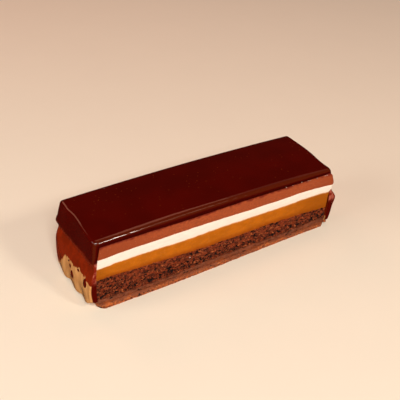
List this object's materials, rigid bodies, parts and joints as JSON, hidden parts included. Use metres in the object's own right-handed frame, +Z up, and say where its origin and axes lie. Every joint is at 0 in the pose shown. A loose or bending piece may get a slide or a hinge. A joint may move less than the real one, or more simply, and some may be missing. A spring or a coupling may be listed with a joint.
{
  "type": "chocolate layer cake bar",
  "caption": "Slim bar of chocolate layer cake: crunchy base, sponge, apricot jelly, cream and mousse under a dark mirror glaze.",
  "frame": {"origin": "middle of the bar's footprint, on the surface that it stands on", "axes": "+X along the bar toward its right end, -Y out of the cut side that the picture shows, +Z up"},
  "size_m": [0.1314, 0.0362, 0.0374],
  "materials": {
    "glaze": "mirror-smooth dark chocolate glaze",
    "mousse": "fine, dense chocolate mousse",
    "cream": "smooth white cream",
    "jelly": "moist apricot jelly",
    "sponge": "open, dark crumb",
    "ganache": "smooth, satin",
    "crunch_base": "rough, crumbly"
  },
  "bodies": {
    "root": {"glaze": "glaze", "mousse": "mousse", "cream": "cream", "jelly": "jelly", "sponge": "sponge", "ganache": "ganache", "crunch_base": "crunch_base"}
  },
  "joints": []
}
